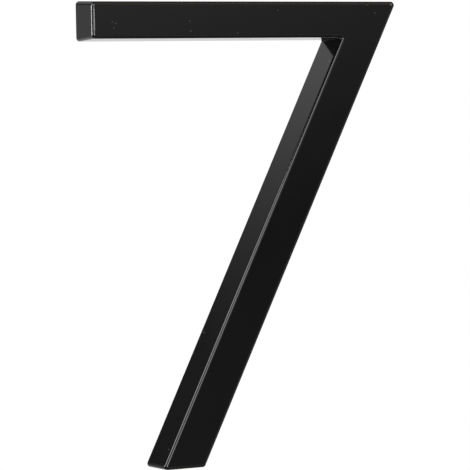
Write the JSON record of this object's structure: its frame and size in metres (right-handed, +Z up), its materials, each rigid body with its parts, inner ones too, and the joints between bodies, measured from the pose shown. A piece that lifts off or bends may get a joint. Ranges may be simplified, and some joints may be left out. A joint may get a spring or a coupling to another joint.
{
  "type": "floating house number",
  "caption": "Numeral seven with a straight bar and a leaning leg, rounded front edges, a hollow cast back and tapped bosses, made to stand off a wall on studs.",
  "frame": {"origin": "halfway between the two stud holes, in the plane of the rear rim", "axes": "+Y into the wall, out of the stud holes; +Z up; +X to the right as the number is read"},
  "size_m": [0.0912, 0.0115, 0.127],
  "materials": {
    "black_coat": "satin black powder coat on zinc die-casting alloy"
  },
  "bodies": {
    "root": {"numeral": "black_coat"}
  },
  "joints": []
}
